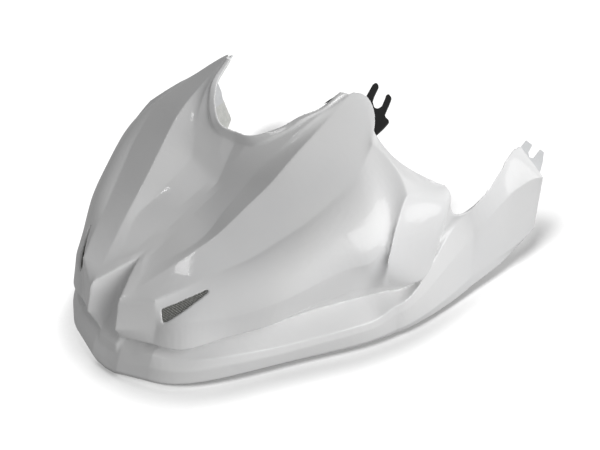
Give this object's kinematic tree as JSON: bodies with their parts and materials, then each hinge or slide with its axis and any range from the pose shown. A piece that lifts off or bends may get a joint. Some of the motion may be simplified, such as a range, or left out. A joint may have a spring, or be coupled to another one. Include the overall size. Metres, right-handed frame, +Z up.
{
  "type": "fuel tank cover",
  "caption": "Moulded front cover that sits over a motorbike's fuel tank, with two horns beside the filler and a wing on each side.",
  "frame": {"origin": "under the middle of the cover, on the plane that its lowest edge rests on", "axes": "+X to the bike's left, +Y to the rear of the bike, +Z up"},
  "size_m": [0.46, 0.3922, 0.2079],
  "materials": {
    "gelcoat": "gloss white gelcoat",
    "mesh": "dark woven mesh",
    "pale_clip": "satin pale grey",
    "black_clip": "satin black"
  },
  "bodies": {
    "root": {"cover_shell": "gelcoat", "vent_mesh_left": "mesh", "vent_mesh_right": "mesh", "wing_clip_left": "pale_clip", "wing_clip_right": "pale_clip", "horn_clip_left": "black_clip"}
  },
  "joints": []
}
